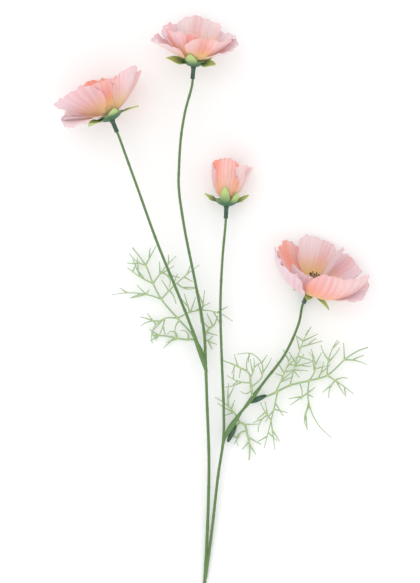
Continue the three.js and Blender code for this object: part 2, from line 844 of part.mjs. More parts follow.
let taken = stemClearance;
for (const [name, { ends, radius }] of Object.entries(SOCKETS)) {
  const middle = ends[0].map((value, i) => (value + ends[1][i]) / 2);
  const spindle = (grow) =>
    tube([ends[0], middle, ends[1]], (u) => mix(1.1, radius, Math.sin(Math.PI * u) ** 0.8), {
      sides: 8,
      step: 3.5,
      grow,
    });
  spray.add(meshOf(name, largest(spindle(0).subtract(stemClearance)), SLEEVE_GREEN));
  taken = taken.add(spindle(GAP));
}
for (const [name, frond] of Object.entries(FRONDS)) {
  spray.add(meshOf(name, largest(frondSolid(frond).subtract(taken)), FROND_GREEN));
}

export default spray;
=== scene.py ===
# %% [markdown]
# # A spray of silk poppies, lying on a table
#
# A silk flower spray is put together from a few kinds of part. Cloth petals are cut, dyed and pressed
# into cups. A soft green moulding, the calyx, holds them from below, and its dark neck slips over the
# end of a plastic-coated wire stem. Fronds as fine as threads are moulded flat and pushed onto the stem.
#
# Each step here makes one kind of part. A part is a surface worked out from a formula: numpy gives every
# point of it at once, and the points become a mesh. All lengths are in millimetres until a mesh is made.

# %% Load the solid model
import json
import math

import bpy
import numpy as np
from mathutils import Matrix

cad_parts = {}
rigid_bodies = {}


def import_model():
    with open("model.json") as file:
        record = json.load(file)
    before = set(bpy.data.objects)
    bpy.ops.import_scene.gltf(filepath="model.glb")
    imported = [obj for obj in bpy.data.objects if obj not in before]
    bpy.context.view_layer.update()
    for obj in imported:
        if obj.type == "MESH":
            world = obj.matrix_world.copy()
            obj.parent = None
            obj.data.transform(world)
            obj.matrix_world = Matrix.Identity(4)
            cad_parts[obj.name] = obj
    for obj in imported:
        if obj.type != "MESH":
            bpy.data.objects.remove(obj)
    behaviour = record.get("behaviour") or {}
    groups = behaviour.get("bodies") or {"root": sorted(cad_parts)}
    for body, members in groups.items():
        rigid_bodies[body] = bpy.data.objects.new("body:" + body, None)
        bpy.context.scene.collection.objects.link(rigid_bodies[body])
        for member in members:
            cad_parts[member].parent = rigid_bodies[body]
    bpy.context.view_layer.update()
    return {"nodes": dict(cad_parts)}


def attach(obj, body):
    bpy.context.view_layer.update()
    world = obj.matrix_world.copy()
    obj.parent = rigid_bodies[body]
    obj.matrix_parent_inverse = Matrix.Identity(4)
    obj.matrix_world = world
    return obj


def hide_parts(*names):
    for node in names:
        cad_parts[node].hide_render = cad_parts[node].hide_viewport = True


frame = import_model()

MM = 0.001  # Blender's unit is the metre
print("pieces in the solid model:", len(frame["nodes"]))

# %% [markdown]
# ## Meshes from grids
#
# A leaf, a petal or a tube is a grid of points that has been bent. One helper numbers the four corners
# of each of the grid's cells, and joins the last column to the first where the grid goes round a tube.
# A class gathers many such surfaces into one mesh, with values on each point, such as how near it
# is to the rim, which the materials read later. The other way would be to model a plane by hand and
# bend it with modifiers, but a formula can be repeated with other numbers for every petal.

# %% Grids and pieces
def grid_faces(rows, columns, around=False):
    """The corner numbers of a grid's cells, anticlockwise, with the points numbered row by row."""
    row, column = np.meshgrid(
        np.arange(rows - 1), np.arange(columns if around else columns - 1), indexing="ij"
    )
    first = row * columns + column
    beside = row * columns + (column + 1) % columns
    return np.stack([first, beside, beside + columns, first + columns], -1).reshape(-1, 4)


class Surfaces:
    """Surfaces gathered to become one mesh: their points, faces, uv and the named values on points."""

    def __init__(self):
        self.points, self.faces, self.uv, self.values = [], [], [], {}
        self.count = 0

    def add(self, points, faces, uv, **values):
        """faces is a list of arrays of corner numbers, and each value is one number or one for each point."""
        for corners in faces:
            self.faces += (corners + self.count).tolist()
        self.points.append(points)
        self.uv.append(uv)
        for name, value in values.items():
            self.values.setdefault(name, []).append(np.broadcast_to(value, len(points)))
        self.count += len(points)

    def piece(self, name, material, slot, replaces):
        """Makes the mesh in metres, in the solid model's frame, in place of the node that it stands for."""
        mesh = bpy.data.meshes.new(name)
        mesh.from_pydata((np.vstack(self.points) * MM).tolist(), [], self.faces)
        mesh.polygons.foreach_set("use_smooth", np.ones(len(mesh.polygons), bool))
        mesh.set_sharp_from_angle(angle=math.radians(60))
        corner = np.zeros(len(mesh.loops), np.int32)
        mesh.loops.foreach_get("vertex_index", corner)
        mesh.uv_layers.new(name="UVMap").data.foreach_set("uv", np.vstack(self.uv)[corner].ravel())
        for value_name, parts in self.values.items():
            layer = mesh.attributes.new(value_name, "FLOAT", "POINT")
            layer.data.foreach_set("value", np.concatenate(parts).astype(np.float32))
        mesh.update()
        mesh.validate()
        piece = bpy.data.objects.new(name, mesh)
        bpy.context.scene.collection.objects.link(piece)
        mesh.materials.append(material)
        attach(piece, "root")
        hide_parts(replaces)
        triangles = sum(len(face) - 2 for face in self.faces)
        print(f"{name}: {triangles} triangles in place of {replaces}")


print("a grid of 3 by 4 points has", len(grid_faces(3, 4)), "cells")

# %% [markdown]
# ## Lines, tubes and turned shapes
#
# Stems, threads and stamens are tubes along a smooth line. The line is a Catmull-Rom curve: between each
# two points it is a cubic whose slopes come from the neighbours, so it passes through every point.
# A tube is a ring of points at each step of the line, and a turned shape is a ring at each step of
# a profile. Both are closed at their ends by a point in the middle, so the mesh has no hole.

# %% Lines, tubes and turned shapes
def unit(vectors):
    """Vectors made one long."""
    return vectors / np.linalg.norm(vectors, axis=-1, keepdims=True)


def smooth_line(points, spacing=1.5, count=None):
    """A centripetal Catmull-Rom line in even steps: each slope weighs the neighbours by the square
    root of their distance, and the dense line is then resampled by its length."""
    p = np.array(points, float)
    p = np.vstack([2 * p[0] - p[1], p, 2 * p[-1] - p[-2]])
    a, b, c, d = (p[i : len(p) - 3 + i][:, None] for i in range(4))
    gap = np.sqrt(np.linalg.norm(np.diff(p, axis=0), axis=1))[:, None, None]
    before, here, after = gap[:-2], gap[1:-1], gap[2:]
    leaving = ((b - a) / before - (c - a) / (before + here) + (c - b) / here) * here
    arriving = ((c - b) / here - (d - b) / (here + after) + (d - c) / after) * here
    w = np.linspace(0, 1, 24, endpoint=False)[None, :, None]
    dense = b * (2 * w**3 - 3 * w**2 + 1) + leaving * (w**3 - 2 * w**2 + w)
    dense = dense + c * (3 * w**2 - 2 * w**3) + arriving * (w**3 - w**2)
    dense = np.vstack([dense.reshape(-1, 3), p[-2]])
    travelled = np.concatenate([[0], np.cumsum(np.linalg.norm(np.diff(dense, axis=0), axis=1))])
    count = count or max(6, round(travelled[-1] / spacing) + 1)
    even = np.linspace(0, travelled[-1], count)
    return np.stack([np.interp(even, travelled, dense[:, k]) for k in range(3)], 1)


def closed_rings(rings, start, end):
    """Points and faces of rings stacked along a line, closed by one point at each end."""
    rows, columns = rings.shape[:2]
    points = np.vstack([rings.reshape(-1, 3), start, end])
    k = np.arange(columns)
    onward = (k + 1) % columns
    last = (rows - 1) * columns
    start_fan = np.stack([np.full(columns, rows * columns), onward, k], 1)
    end_fan = np.stack([np.full(columns, rows * columns + 1), last + k, last + onward], 1)
    return points, [grid_faces(rows, columns, around=True), start_fan, end_fan]


def ring_uv(rows, columns, length):
    """u runs once round and v along, in millimetres; the two end points take the ends' values."""
    u, v = np.meshgrid(np.arange(columns) / columns, np.linspace(0, length, rows))
    return np.vstack([np.stack([u.ravel(), v.ravel()], 1), [[0.5, 0], [0.5, length]]])


def tube(line, radius, sides, flute=0, flutes=0):
    """Rings round a line: the centre plus the radius times the cosine of the angle sideways and its
    sine upwards; flutes press the radius in and out by the share `flute` as the angle goes round."""
    radius = np.broadcast_to(radius, len(line))
    along = unit(np.gradient(line, axis=0))
    sideways = unit(np.cross(along, [0, 0, 1]))
    upwards = np.cross(along, sideways)
    angle = 2 * np.pi * (np.arange(sides) + 0.5) / sides
    shape = 1 + flute * np.cos(flutes * angle)
    ring = np.cos(angle)[:, None] * sideways[:, None] + np.sin(angle)[:, None] * upwards[:, None]
    rings = line[:, None] + (radius[:, None] * shape)[..., None] * ring
    start = line[0] - along[0] * radius[0] * 0.5
    end = line[-1] + along[-1] * radius[-1] * 0.5
    points, faces = closed_rings(rings, start, end)
    length = np.linalg.norm(np.diff(line, axis=0), axis=1).sum()
    return points, faces, ring_uv(len(line), sides, length)


def along_tube(values, sides):
    """A value for each step of a line, repeated for the points of each ring and the two end points."""
    return np.concatenate([np.repeat(values, sides), values[[0, -1]]])


class Head:
    """Where a flower sits: its petals spread at `base` and its axis points along `out`. Seen from above,
    azimuth 0 is the side of the flower that looks up from the table and 90 is its right side."""

    def __init__(self, base, axis):
        self.base = np.array(base, float)
        self.out = unit(np.array(axis, float))
        front = unit(np.array([0, 0, 1.0]) - self.out * self.out[2])
        self.basis = np.stack([np.cross(self.out, front), self.out, front])

    def place(self, right, out, front):
        """Points from their distances along the flower's own three directions."""
        return self.base + np.stack(np.broadcast_arrays(right, out, front), -1) @ self.basis

    def behind(self, distance):
        """A point on the axis, behind the base."""
        return (self.base - self.out * distance).tolist()


def turned(head, profile, segments, flute=0, flutes=0, count=40):
    """A profile of (radius, height) turned about a flower's axis. It starts and ends on the axis,
    and its corners are rounded by resampling it as a smooth line."""
    r, h, _ = smooth_line([(r, h, 0) for r, h in profile], count=count).T
    angle = 2 * np.pi * np.arange(segments) / segments
    radius = np.maximum(r[1:-1, None], 0.01) * (1 + flute * np.cos(flutes * angle))
    rings = head.place(radius * np.sin(angle), h[1:-1, None] + 0 * angle, radius * np.cos(angle))
    points, faces = closed_rings(rings, head.place(0, h[0], 0), head.place(0, h[-1], 0))
    return points, faces, ring_uv(count - 2, segments, np.abs(np.diff(h)).sum())


check = smooth_line([(0, 0, 0), (10, 0, 0), (20, 5, 0)])
print("a test line of", len(check), "steps ends at", np.round(check[-1], 2))

# %% [markdown]
# ## Shader maths
#
# A material is a graph of nodes. Written node by node it is hard to read, so a small class wraps one
# output socket and gives it the signs of arithmetic: `1 - mask * 0.3` adds the Math nodes it needs.
# Colours are never sent through Math nodes, which would turn them grey; they are blended by Mix nodes.

# %% Shader maths
def paint(red, green, blue):
    """A colour given as a screen shows it, from 0 to 255, turned into the linear values of a shader."""
    screen = np.array([red, green, blue]) / 255
    linear = np.where(screen <= 0.04045, screen / 12.92, ((screen + 0.055) / 1.055) ** 2.4)
    return (*linear.tolist(), 1.0)


class Wire:
    """One output of a node, with arithmetic."""

    def __init__(self, finish, socket):
        self.finish, self.socket = finish, socket

    def maths(self, operation, first, second):
        return self.finish.node("ShaderNodeMath", {"operation": operation}, {0: first, 1: second})

    def __add__(self, other):
        return self.maths("ADD", self, other)

    def __sub__(self, other):
        return self.maths("SUBTRACT", self, other)

    def __rsub__(self, other):
        return self.maths("SUBTRACT", other, self)

    def __mul__(self, other):
        return self.maths("MULTIPLY", self, other)

    __radd__ = __add__
    __rmul__ = __mul__

    def clamped(self):
        """The value held between 0 and 1."""
        return self.finish.node(
            "ShaderNodeMath", {"operation": "ADD", "use_clamp": True}, {0: self, 1: 0.0}
        )


class Finish:
    """A material in the making."""

    def __init__(self, name):
        self.material = bpy.data.materials.new(name)
        self.material.use_nodes = True
        self.tree = self.material.node_tree
        self.tree.nodes.clear()

    def node(self, kind, settings=None, sockets=None, output=0):
        """Adds a node: its settings first, with a ramp's stops, then its sockets' values or links."""
        node = self.tree.nodes.new(kind)
        for name, value in (settings or {}).items():
            if name == "stops":
                elements = node.color_ramp.elements
                for place, (position, colour) in enumerate(value):
                    element = elements[place] if place < 2 else elements.new(position)
                    element.position, element.color = position, colour
            else:
                setattr(node, name, value)
        for key, value in (sockets or {}).items():
            if isinstance(value, Wire):
                self.tree.links.new(value.socket, node.inputs[key])
            else:
                node.inputs[key].default_value = value
        return Wire(self, node.outputs[output]) if node.outputs else None

    def value(self, name):
        """A value that the mesh carries on its points."""
        return self.node("ShaderNodeAttribute", {"attribute_name": name}, output="Fac")

    def noise(self, vector, scale, detail=2.0):
        """Cloudy noise from 0 to 1."""
        sockets = {"Vector": vector, "Scale": scale, "Detail": detail}
        return self.node("ShaderNodeTexNoise", {}, sockets, output="Fac")

    def stretched(self, vector, scale):
        """A vector scaled by its own amount along each direction."""
        return self.node("ShaderNodeVectorMath", {"operation": "MULTIPLY"}, {0: vector, 1: scale})

    def objects(self):
        """Object coordinates, in metres."""
        return self.node("ShaderNodeTexCoord", output="Object")

    def uv(self):
        return self.node("ShaderNodeUVMap", {"uv_map": "UVMap"})

    def blend(self, amount, first, second):
        """A colour between two: first where amount is 0, second where it is 1."""
        mix = {"data_type": "RGBA", "clamp_factor": True}
        return self.node("ShaderNodeMix", mix, {0: amount, 6: first, 7: second}, output=2)

    def step(self, value, low, high):
        """0 below low and 1 above high, with a soft passage between."""
        sockets = {"Value": value, "From Min": low, "From Max": high}
        return self.node("ShaderNodeMapRange", {"interpolation_type": "SMOOTHSTEP"}, sockets)

    def bump(self, height, depth, strength):
        """Fine relief: depth is in metres."""
        return self.node(
            "ShaderNodeBump", {}, {"Height": height, "Distance": depth, "Strength": strength}
        )

    def surface(self, sockets):
        """Ends the material with one Principled shader."""
        shader = self.node("ShaderNodeBsdfPrincipled", {}, sockets)
        self.node("ShaderNodeOutputMaterial", {}, {"Surface": shader})
        print("material", self.material.name, "has", len(self.tree.nodes), "nodes")
        return self.material


print("pink on a screen is", np.round(paint(240, 205, 210)[:3], 3), "in a shader")

# %% [markdown]
# ## Where things are
#
# The solid model has its stems, flowers, petals and sepals in these same places, so every surface lies
# where its solid lies. Only two cups' rims, one sepal of the top bloom and the roots of the twisted
# sepals differ a little, so that the petals clear them.
# A petal is (azimuth, half its width in degrees, length, three slopes from the axis, wave height,
# wave count, phase, dye), and a dye is (blush, gold, the share of the blush that reaches the rim).
# A sepal is (azimuth, length, half width, three slopes, twist).

# %% The flowers' sizes and places
# Lengths along a flower's axis are heights over its base, so what lies below the base is negative.
GAP = 0.3  # between the solids of neighbouring pieces
SLEEVE_TOP, SLEEVE_LENGTH, SLEEVE_RADIUS, SLEEVE_TOP_RADIUS = -5, 12, 2.3, 3
CUP_FLOOR, CUP_RIM, CORE_TOP = -1.2, 2, 3.6
PETAL_START = (2.2, 1.2)  # radius and height of a petal's root

FLOWERS = {
    "bloom_left": {
        "head": Head((-100.5, 197.5, 37.1), (-0.38, 0.92, 0.04)),
        "cup": 13.5,
        "rim": 1.1,
        "petals": [
            (184, 66, 52, (66, 34, 20), 2.0, 1.7, 4.2, (1.0, 0.2, 1.0)),
            (246, 54, 48, (80, 64, 60), 3.4, 1.4, 5.6, (0.15, 0.6, 0.1)),
            (104, 46, 52, (78, 50, 32), 3.0, 1.4, 3.1, (0.9, 0.5, 1.0)),
            (290, 56, 47, (83, 75, 78), 11.0, 0.5, 0.2, (0.05, 0.4, 0.2)),
            (66, 48, 54, (76, 48, 26), 2.4, 1.4, 1.9, (0.5, 0.9, 0.6)),
            (304, 66, 55, (75, 50, 37), 5.0, 0.5, 3.3, (0.5, 1.0, 0.4)),
            (10, 54, 41, (74, 40, 26), 1.8, 1.5, 5.0, (1.15, 1.1, 0.6)),
            (338, 60, 47, (72, 42, 30), 1.8, 2.3, 0.4, (1.1, 1.1, 0.6)),
        ],
        "sepals": [
            (16, 11, 5.4, (78, 62, 54), 0),
            (84, 19, 3.2, (90, 94, 100), -2),
            (160, 13, 5.4, (70, 60, 50), 0),
            (248, 15, 5.4, (88, 88, 92), 0),
            (304, 16, 6.5, (90, 88, 84), 6),
        ],
        "seed": 11,
        "stamen": 12,
    },
    "bloom_top": {
        "head": Head((-18.5, 251.0, 34), (0.08, 0.96, 0.26)),
        "cup": 11.5,
        "rim": CUP_RIM,
        "petals": [
            (174, 60, 51, (64, 34, 22), 2.0, 1.9, 4.0, (0.4, 1.5, 0.1)),
            (130, 54, 47, (68, 50, 44), 2.2, 1.4, 2.9, (0.2, 0.8, 0.1)),
            (232, 50, 45, (66, 42, 34), 2.4, 1.4, 4.6, (0.5, 0.7, 0.2)),
            (78, 46, 46, (76, 58, 58), 7.0, 0.5, 3.2, (0.1, 0.8, 0.2)),
            (290, 48, 47, (78, 56, 54), 3.0, 1.2, 0.7, (0.4, 1.0, 0.2)),
            (328, 62, 46, (70, 39, 30), 2.4, 2.1, 2.2, (1.1, 1.5, 0.5)),
            (34, 60, 46, (76, 48, 38), 2.2, 2.0, 0.2, (1.1, 1.4, 0.5)),
        ],
        "sepals": [
            (350, 18, 6, (62, 48, 45), 0),
            (66, 14, 6.5, (84, 86, 88), -6),
            (125, 13, 5, (72, 70, 70), 0),
            (235, 13, 5, (70, 66, 64), 0),
            (292, 20, 6.5, (82, 80, 74), 6),
        ],
        "seed": 211,
        "stamen": 9,
    },
    "bloom_right": {
        "head": Head((96.4, 27.4, 15.2), (0.335, 0.79, 0.515)),
        "cup": 9.6,
        "rim": 0.6,
        "petals": [
            (201, 50, 52, (60, 36, 24), 1.8, 1.4, 0.3, (0.45, 1.05, 0.0)),
            (260, 40, 54, (72, 52, 36), 2.0, 1.4, 4.4, (1.1, 0.2, 0.8)),
            (117, 50, 53, (66, 46, 24), 2.2, 1.6, 2.9, (0.35, 0.5, 0.4)),
            (146, 15, 50, (50, 14, 22), 0.8, 1.0, 1.2, (0.1, 0.3, 0.3)),
            (82, 38, 59, (78, 62, 44), 4.0, 0.6, 3.0, (0.2, 0.3, 0.3)),
            (303, 54, 58, (91, 70, 4), 5.0, 0.5, 3.1, (0.15, 0.2, 0.2)),
            (334, 58, 42, (85, 46, 0), 1.4, 0.9, 3.6, (0.3, 0.3, 0.2)),
            (44, 60, 69, (91, 54, -26), 7.0, 0.5, 0.1, (1.15, 1.0, 0.35)),
        ],
        "sepals": [
            (4, 10, 4.6, (108, 104, 100), 0),
            (66, 21, 4, (104, 100, 120), 0),
            (150, 13, 4.8, (84, 80, 76), 0),
            (222, 13, 4.8, (82, 76, 72), 0),
            (300, 10, 4.6, (108, 104, 100), 0),
        ],
        "seed": 411,
        "stamen": 14,
    },
    "bud": {
        "head": Head((13.8, 114.6, 17.8), (0.05, 0.99, 0.1)),
        "cup": 12,
        "rim": CUP_RIM,
        "petals": [
            (186, 66, 44, (62, -8, 0), 1.3, 1.6, 4.1, (0.9, 0.3, 1.0)),
            (108, 58, 41, (64, 2, 30), 1.6, 1.4, 3.0, (0.6, 0.4, 0.8)),
            (262, 60, 42, (66, -6, -4), 1.3, 1.5, 5.2, (0.7, 0.4, 0.8)),
            (52, 68, 41, (68, -4, 18), 1.5, 1.3, 1.8, (0.6, 0.6, 0.6)),
            (338, 74, 47, (68, -8, 0), 1.2, 1.3, 0.5, (1.0, 0.6, 1.1)),
        ],
        "sepals": [
            (352, 18, 4.6, (54, 14, 8), 0),
            (40, 12, 4.4, (58, 24, 16), 0),
            (92, 14, 5, (66, 56, 50), -4),
            (184, 12, 5, (50, 38, 32), 0),
            (268, 14, 5, (68, 60, 52), 4),
        ],
    },
}
for label, flower in FLOWERS.items():
    print(label, "has", len(flower["petals"]), "petals that spread at", flower["head"].base)

# %% [markdown]
# ## Petals
#
# A silk petal is a wedge of dyed cloth, pressed hot between ribbed moulds: fine pleats fan out from
# its root and the rim is stretched until it ripples. Cloth simulation would find folds of its own, but
# the pleats of a pressed petal are regular, so a formula fits better. The petal starts as a fan
# round the flower's axis whose slope changes from root to rim, and three kinds of waves push it in
# and out: broad waves that overlap the neighbours, the pressed pleats, and the ripple of the rim.

# %% The shape of a petal
def middle_line(t, length, angles, start):
    """Radius, height and slope at t. The slope from the axis is a quadratic Bezier curve: it starts at
    the first angle, is drawn toward the second and ends at the third. The radius and the height add
    up its sine and cosine in sixteen parts."""
    def slope(x):
        a, b, c = np.radians(angles)
        return (1 - x) ** 2 * a + 2 * x * (1 - x) * b + x**2 * c

    parts = (np.arange(16) + 0.5) / 16
    slopes = slope(np.asarray(t)[..., None] * parts)
    r = start[0] + length * t / 16 * np.sin(slopes).sum(-1)
    h = start[1] + length * t / 16 * np.cos(slopes).sum(-1)
    return r, h, slope(t)


def beside(head, line, azimuth, turn, hub, lift):
    """Points beside a middle line: turned about an axis that is `hub` inward, and pushed out by lift."""
    r, h, slope = line
    a = np.radians(azimuth)
    radial = r - hub * (1 - np.cos(turn)) + lift * np.cos(slope) * np.cos(turn)
    sideways = hub * np.sin(turn) + lift * np.cos(slope) * np.sin(turn)
    height = h - lift * np.sin(slope)
    return head.place(
        radial * np.sin(a) + sideways * np.cos(a), height, radial * np.cos(a) - sideways * np.sin(a)
    )


def soft_step(x, low, high):
    """0 below low, 1 above high, and a smooth passage between."""
    x = np.clip((x - low) / (high - low), 0, 1)
    return x * x * (3 - 2 * x)


def both_faces(surface, thickness):
    """A thin closed sheet: the surface moved half its thickness along its normals to either side, and
    a strip of faces round the rim that joins the two."""
    rows, columns = surface.shape[:2]
    outward = np.cross(np.gradient(surface, axis=1), np.gradient(surface, axis=0))
    half = unit(outward) * (np.broadcast_to(thickness, (rows, columns)) / 2)[..., None]
    points = np.concatenate([(surface + half).reshape(-1, 3), (surface - half).reshape(-1, 3)])
    front = grid_faces(rows, columns)
    number = np.arange(rows * columns).reshape(rows, columns)
    rim = np.concatenate([number[0, :-1], number[:-1, -1], number[-1, :0:-1], number[:0:-1, 0]])
    onward, back = np.roll(rim, -1), rows * columns
    strip = np.stack([onward, rim, rim + back, onward + back], 1)
    return points, [front, front[:, ::-1] + back, strip]


def twice(field):
    """The values of a grid, for the points of a sheet's front and then of its back."""
    return np.tile(field.ravel(), 2)


PETAL_ROWS, PETAL_COLUMNS = 46, 113
CLOTH = 0.34  # thickness
PLEATS, FINE_PLEATS, RIPPLES = 5.5, 9.5, 4.3  # waves in half a petal's width


def petal_surface(head, azimuth, half_width, length, angles, wave, count, phase):
    """The petal as a grid of points, and what the cloth's colours need to know at each of them: s runs
    across, t runs from root to rim, and `reach` is t cut short by a rounded, nibbled outline. The lift
    off the middle line is a tilt and waves, each a sine across times a power that grows to the rim."""
    s, t = np.meshgrid(np.linspace(-1, 1, PETAL_COLUMNS), np.linspace(0, 1, PETAL_ROWS))
    outline = 1 - 0.16 * s**2 - 0.46 * s**8 - 0.03 * np.cos(5 * s + 2 * phase)
    nibble = 0.011 * np.sin(19 * s + 3 * phase) + 0.007 * np.sin(31 * s + 5 * phase)
    reach = t * (outline + nibble * t**6)
    fan = 0.6 + 0.4 * soft_step(reach, 0, 0.65)
    turn = s * np.radians(half_width) * fan
    broad = wave * reach**2.2 * np.sin(np.pi * count * s + phase)
    ruffle = 0.45 * min(wave, 3) * reach**6 * np.sin(np.pi * (2 * count + 1) * s + 2 * phase)
    drift = 1.3 * np.sin(2.1 * s + phase) + 0.5 * np.sin(4 * reach + phase)
    pleat = np.sin(2 * np.pi * PLEATS * s + drift * 1.5)
    fine = np.sin(2 * np.pi * FINE_PLEATS * s + 3 * drift)
    pleats = reach**0.8 * (0.34 * pleat + 0.14 * fine)
    swing = 2.5 * np.sin(3 * s + phase)
    ripple = 0.35 * min(wave, 2.4) * t**12 * np.sin(2 * np.pi * RIPPLES * s + swing)
    lift = 1.6 * s * reach + broad + ruffle + pleats + ripple
    line = middle_line(reach, length, angles, PETAL_START)
    surface = beside(head, line, azimuth, turn, line[0], lift)
    # fold is how far the petal bends inward here; it sets painted shade along the folds and deepens the coral
    fold = 0.5 - 0.35 * np.sin(np.pi * count * s + phase) - 0.11 * pleat
    return surface, s, t, reach, fold


def above_table(points, soft=0.6):
    """Squeezes up what hangs lower than `soft`: there z becomes soft * exp(z / soft - 1), never under 0."""
    low = np.minimum(points[:, 2], soft)
    points[:, 2] = np.maximum(points[:, 2], soft * np.exp(low / soft - 1))
    return points


def petals_of(flower):
    """All the petals of one flower, with their blush, gold, fold, rim and tone on each point."""
    cloth = Surfaces()
    for number, (*shape, (blush, gold, edge)) in enumerate(flower["petals"]):
        surface, s, t, reach, fold = petal_surface(flower["head"], *shape)
        points, faces = both_faces(surface, CLOTH * (1.3 - 0.5 * t))
        cloth.add(
            above_table(points),
            faces,
            np.stack([twice(s) * 0.5 + 1.5 * number, twice(reach)], 1),
            # the coral deepens where the petal folds inward: partly dye, partly painted shade
            blush=twice(blush * (0.35 + 0.65 * fold) * (1 - (1 - edge) * soft_step(reach, 0.4, 0.95))),
            gold=twice(gold * (1 - soft_step(reach, 0.18, 0.74))),
            fold=twice(fold),
            rim=twice(soft_step(np.maximum(t, np.abs(s) * 0.99), 0.955, 0.995)),
            tone=np.full(len(points), (number * 0.37) % 1.0),
        )
    return cloth


print("one petal has", PETAL_ROWS * PETAL_COLUMNS * 2, "points")

# %% [markdown]
# ## Dyed cloth
#
# The cloth is a pale pink that leans to lilac, brushed with coral where the petal folds and with gold
# at its root. Each mask was worked out with the shape: the coral deepens where the petal folds inward,
# partly dye and partly painted shade, and a darker rose along the folds is painted shade. On top come
# fine veins that run from root to rim, made of noise squeezed sideways, and a faint weave as bump.
# Light passes through cloth this thin, so that its shaded folds stay bright. A constant subsurface
# share imitates it, with a faint glow of the cloth's own pink that is painted light.

# %% The petals' cloth
PALE_PINK, LILAC_PINK, ROSE = paint(225, 204, 206), paint(218, 196, 207), paint(212, 160, 166)
CORAL, GOLD, VEIN = paint(240, 128, 96), paint(220, 176, 96), paint(186, 124, 132)
# painted light: the faint pink glow the petals give off, which lifts their shaded folds
GLOW = paint(226, 212, 214)


def petal_cloth():
    """Pale and lilac pink in clouds, then given painted shade along the folds, blushed, gilded and veined in
    that order.
    """
    cloth = Finish("petal_cloth")
    uv = cloth.uv()
    blush, gold, fold = (cloth.value(name) for name in ("blush", "gold", "fold"))
    rim, tone = cloth.value("rim"), cloth.value("tone")
    clouds = cloth.noise(cloth.stretched(uv, (3, 2.2, 1)), 1.0)
    streaks = cloth.noise(cloth.stretched(uv, (26, 1.4, 1)), 1.0, 3.0)
    veins = cloth.noise(cloth.stretched(uv, (75, 2.0, 1)), 1.0, 2.0)
    pale = cloth.blend(cloth.step(clouds + tone * 0.3 - 0.15, 0.35, 0.65), PALE_PINK, LILAC_PINK)
    # painted shade: a darker rose where the petal folds inward and along the streaks
    shaded = cloth.blend(cloth.step(fold + streaks * 0.5, 0.75, 1.2) * 0.6, pale, ROSE)
    warm = cloth.blend((blush * (0.55 + 0.9 * streaks)).clamped(), shaded, CORAL)
    rooted = cloth.blend((gold * (0.6 + 0.8 * streaks)).clamped(), warm, GOLD)
    lined = cloth.blend(cloth.step(veins, 0.54, 0.76) * 0.32, rooted, VEIN)
    colour = cloth.blend(rim * 0.2, lined, ROSE)
    weave = cloth.noise(cloth.objects(), 2600.0, 1.0)
    normal = cloth.bump(streaks * 0.7 + veins * 0.4 + weave * 0.12, 0.0004, 0.5)
    return cloth.surface(
        {
            "Base Color": colour,
            "Roughness": 0.62 + 0.2 * streaks,
            "Normal": normal,
            "Subsurface Weight": 0.4,
            "Subsurface Radius": (0.7, 0.5, 0.48),
            "Subsurface Scale": 0.003,
            # painted light: a faint glow of the cloth's own pink
            "Emission Color": GLOW,
            "Emission Strength": 0.1,
            "Sheen Weight": 0.25,
            "Sheen Roughness": 0.5,
            "Specular IOR Level": 0.25,
        }
    )


CLOTH_FINISH = petal_cloth()
for label, flower in FLOWERS.items():
    petals_of(flower).piece(f"{label}_cloth", CLOTH_FINISH, "petal", f"{label}_petals")

# %% [markdown]
# ## Cups, sepals and necks
#
# Under each flower sits a soft moulding: a bowl that holds the petals, with five pointed sepals on its
# rim, dark at the neck and yellow-green at the tips. The bowl is a profile turned about the
# flower's axis, with shallow ribs. A sepal is a thin keeled blade: nearly flat across, with a raised
# midrib and a slightly wavy edge. The dark neck below is turned too, with a bead at its mouth.

# %% The shapes of cup, sepal and neck
SEPAL_ROWS, SEPAL_COLUMNS = 34, 19


def sepal_surface(head, cup, azimuth, length, half_width, angles, twist):
    """A pointed blade: its width follows a sine from root to tip, its middle is lifted, and its edges
    twist, from hardly at the root, where the petals lie close, to fully before the middle."""
    s, t = np.meshgrid(np.linspace(-1, 1, SEPAL_COLUMNS), np.linspace(0, 1, SEPAL_ROWS))
    width = half_width * (0.06 + 0.94 * np.sin(np.pi * (0.3 + 0.7 * t)))
    keel = 0.2 * half_width * (1 - s * s) + 0.22 * np.exp(-((s / 0.13) ** 2)) * (1 - 0.7 * t)
    turned_out = 0.5 * twist * s * width / half_width * soft_step(t, -0.15, 0.45)
    wavy = 0.3 * s * np.sin(9 * t + azimuth) * t + turned_out
    line = middle_line(t, length, angles, (0.8 * cup, 0))
    return beside(head, line, azimuth, s * width / 60, 60, keel + wavy), s, t


def calyx_of(flower):
    """The cup and its sepals, with the value `rise`: 0 at the neck and 1 at a sepal's tip. The rim is
    lower where the petals spread flat over it."""
    head, cup, rim, green = flower["head"], flower["cup"], flower["rim"], Surfaces()
    bowl = [
        (0, SLEEVE_TOP + GAP),
        (SLEEVE_TOP_RADIUS, SLEEVE_TOP + GAP),
        (cup * 0.55, -3.5),
        (cup * 0.85, -0.9),
        (cup, rim),
        (cup - 0.9, rim + 0.1),
        (cup * 0.6, CUP_FLOOR),
        (0, CUP_FLOOR),
    ]
    points, faces, uv = turned(head, bowl, 80, flute=0.025, flutes=10)
    height = (points - head.base) @ head.out
    green.add(points, faces, uv, rise=0.42 * soft_step(height, SLEEVE_TOP, rim))
    for azimuth, length, half_width, angles, twist in flower["sepals"]:
        surface, s, t = sepal_surface(head, cup, azimuth, length, half_width, angles, twist)
        points, faces = both_faces(surface, 0.75 - 0.3 * t)
        uv = np.stack([twice(s), twice(t) * length], 1)
        green.add(points, faces, uv, rise=twice(0.3 + 0.7 * t))
    return green


